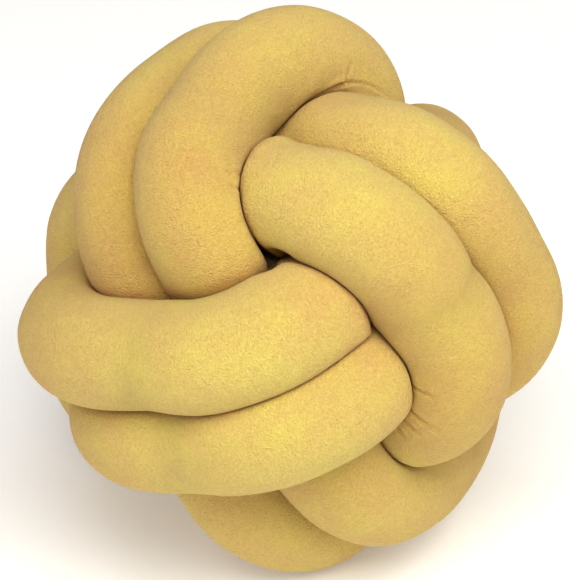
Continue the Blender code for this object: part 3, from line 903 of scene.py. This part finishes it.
def plush():
    """Mustard short-pile plush, from one noise for each real size in it."""
    material = bpy.data.materials.new("Short-pile plush, mustard")
    material.use_nodes = True
    tree = material.node_tree
    shader = tree.nodes["Principled BSDF"]
    place = add(tree, "ShaderNodeTexCoord").outputs["Object"]
    unrolled = add(tree, "ShaderNodeAttribute", {"attribute_name": "straight_tube"}).outputs["Vector"]
    combed = add(tree, "ShaderNodeVectorMath", {"operation": "MULTIPLY"}, at0=unrolled,
                 at1=(TUFT_LENGTH, 1.0, 1.0)).outputs[0]

    leaning = add(tree, "ShaderNodeTexNoise", Vector=place, Scale=1.0 / LEANING, Detail=2.0,
                  Roughness=0.55, Distortion=0.4).outputs["Fac"]
    brushed = add(tree, "ShaderNodeTexNoise", Vector=unrolled, Scale=1.0 / BRUSHED, Detail=2.0,
                  Roughness=0.5, Distortion=0.3).outputs["Fac"]
    tufts = add(tree, "ShaderNodeTexNoise", Vector=combed, Scale=1.0 / TUFT, Detail=1.0,
                Roughness=0.6, Distortion=0.3).outputs["Fac"]
    grain = add(tree, "ShaderNodeTexNoise", Vector=combed, Scale=1.0 / GRAIN, Detail=1.0,
                Roughness=0.6).outputs["Fac"]

    broad = add(tree, "ShaderNodeMix", {"data_type": "FLOAT"}, at0=BRUSHED_SHARE, at2=leaning,
                at3=brushed).outputs[0]
    colour = with_painted_light_and_shade(tree, pile_colour(tree, broad, tufts, grain))
    tree.links.new(colour, shader.inputs["Base Color"])

    fine = add(tree, "ShaderNodeBump", Strength=1.0, Distance=PILE_RELIEF, Height=grain).outputs["Normal"]
    wide = add(tree, "ShaderNodeBump", Strength=1.0, Distance=STROKE_RELIEF, Height=brushed, Normal=fine)
    tree.links.new(wide.outputs["Normal"], shader.inputs["Normal"])

    shader.inputs["Roughness"].default_value = PILE_ROUGHNESS
    shader.inputs["IOR"].default_value = PILE_IOR
    shader.inputs["Specular IOR Level"].default_value = PILE_SPECULAR
    shader.inputs["Sheen Weight"].default_value = SHEEN
    shader.inputs["Sheen Roughness"].default_value = SHEEN_ROUGHNESS
    shader.inputs["Sheen Tint"].default_value = linear("#EAE3CE")
    return material


cushion.data.materials.append(plush())
print("cushion finish:", cushion.data.materials[0].name)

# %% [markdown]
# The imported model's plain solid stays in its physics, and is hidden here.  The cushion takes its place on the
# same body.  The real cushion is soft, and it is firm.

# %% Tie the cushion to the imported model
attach(cushion, "root")
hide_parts("knotted_tube")
print("cushion rides on root and stands for knotted_tube")

# %% [markdown]
# ## Floor, light and camera
#
# The cushion lies on a plain pale floor that fills the view.  The light is that of a photographer's table: a
# large soft lamp above the camera, a second one from the right, a weak one from the left, and pale
# surroundings, which leave no hard shadow.  The floor glows faintly, as a table lit from below does, so that
# it stays white.  The camera looks down at the ball from a good distance with a long lens, so that the
# lengths at its edge aren't distorted.  Its distance, its field of view and how far it stands aside come from
# the search that found the sizes of the bands.

# %% The floor
FLOOR_HALF = 6.0           # in metres, far past the view
FLOOR_GLOW = 0.15          # the faint light that comes through the table


def floor_sheet():
    """A flat square on the plane that the cushion stands on."""
    mesh = bpy.data.meshes.new("floor")
    signs = ((-1, -1), (1, -1), (1, 1), (-1, 1))
    mesh.from_pydata([(x * FLOOR_HALF, y * FLOOR_HALF, 0.0) for x, y in signs], [], [(0, 1, 2, 3)])
    floor = bpy.data.objects.new("floor", mesh)
    bpy.context.scene.collection.objects.link(floor)
    material = bpy.data.materials.new("White painted board")
    material.use_nodes = True
    shader = material.node_tree.nodes["Principled BSDF"]
    shader.inputs["Base Color"].default_value = linear("#FAFAFA")
    shader.inputs["Roughness"].default_value = 0.8
    shader.inputs["Emission Color"].default_value = linear("#FFFFFF")
    shader.inputs["Emission Strength"].default_value = FLOOR_GLOW
    mesh.materials.append(material)
    return floor


floor_sheet()
print("floor:", 2 * FLOOR_HALF, "m square")

# %% The light
LAMP_DISTANCE = 2.1        # from the knot's centre, in metres
LAMP_SIZE = 1.3            # each side of the square
Lamp = namedtuple("Lamp", "name azimuth rise watts colour")
LAMPS = (                  # azimuth 0 is the camera's side and 90 the right; rise is above the horizon
    Lamp("main_lamp", 0.0, 62.0, 34.0, "#FFFFF4"),
    Lamp("right_lamp", 55.0, 48.0, 21.0, "#FFFFF4"),
    Lamp("left_fill", -55.0, 32.0, 8.5, "#FBFCFF"),
)
SKY_STRENGTH = 0.27


def soft_lamp(lamp):
    """A square lamp that faces the knot from its azimuth and rise."""
    azimuth, rise = math.radians(lamp.azimuth), math.radians(lamp.rise)
    away = LAMP_DISTANCE * Vector((math.sin(azimuth) * math.cos(rise), -math.cos(azimuth) * math.cos(rise),
                                   math.sin(rise)))
    light = bpy.data.lights.new(lamp.name, "AREA")
    light.shape, light.size, light.energy = "SQUARE", LAMP_SIZE, lamp.watts
    light.color = linear(lamp.colour)[:3]
    holder = bpy.data.objects.new(lamp.name, light)
    holder.location = Vector(knot_centre) + away
    holder.rotation_euler = (-away).to_track_quat("-Z", "Y").to_euler()
    bpy.context.scene.collection.objects.link(holder)


def pale_sky():
    """Even, faint light from all round, as in a room with pale walls."""
    sky = bpy.data.worlds.new("pale_studio")
    sky.use_nodes = True
    sky.node_tree.nodes["Background"].inputs["Color"].default_value = linear("#FBF4FF")
    sky.node_tree.nodes["Background"].inputs["Strength"].default_value = SKY_STRENGTH
    bpy.context.scene.world = sky


for lamp in LAMPS:
    soft_lamp(lamp)
pale_sky()
bpy.context.scene.view_settings.view_transform = "Standard"
print("lamps:", ", ".join(f"{lamp.name} {lamp.watts} W" for lamp in LAMPS))

# %% The camera
CAMERA_RISE = math.radians(35.0)               # above the horizon
CAMERA_DISTANCE = 1.454                        # from the knot's centre, in metres
CAMERA_ASIDE = (-0.0027, 0.0019)               # how far it stands right of and above the knot's centre line
FIELD_OF_VIEW = math.radians(12.43)


def photograph_camera():
    """A long-lens camera that looks along +Y and down."""
    toward = np.array([0.0, -math.cos(CAMERA_RISE), math.sin(CAMERA_RISE)])
    upward = np.array([0.0, math.sin(CAMERA_RISE), math.cos(CAMERA_RISE)])
    lens = bpy.data.cameras.new("camera")
    lens.sensor_width = 36.0
    lens.sensor_fit = "HORIZONTAL"
    lens.angle = FIELD_OF_VIEW
    camera = bpy.data.objects.new("camera", lens)
    camera.location = Vector(knot_centre + CAMERA_DISTANCE * toward
                             + CAMERA_ASIDE[0] * X + CAMERA_ASIDE[1] * upward)
    camera.rotation_euler = (math.pi / 2.0 - CAMERA_RISE, 0.0, 0.0)
    bpy.context.scene.collection.objects.link(camera)
    bpy.context.scene.camera = camera
    return camera


camera = photograph_camera()
print("camera at", [round(x, 3) for x in camera.location])
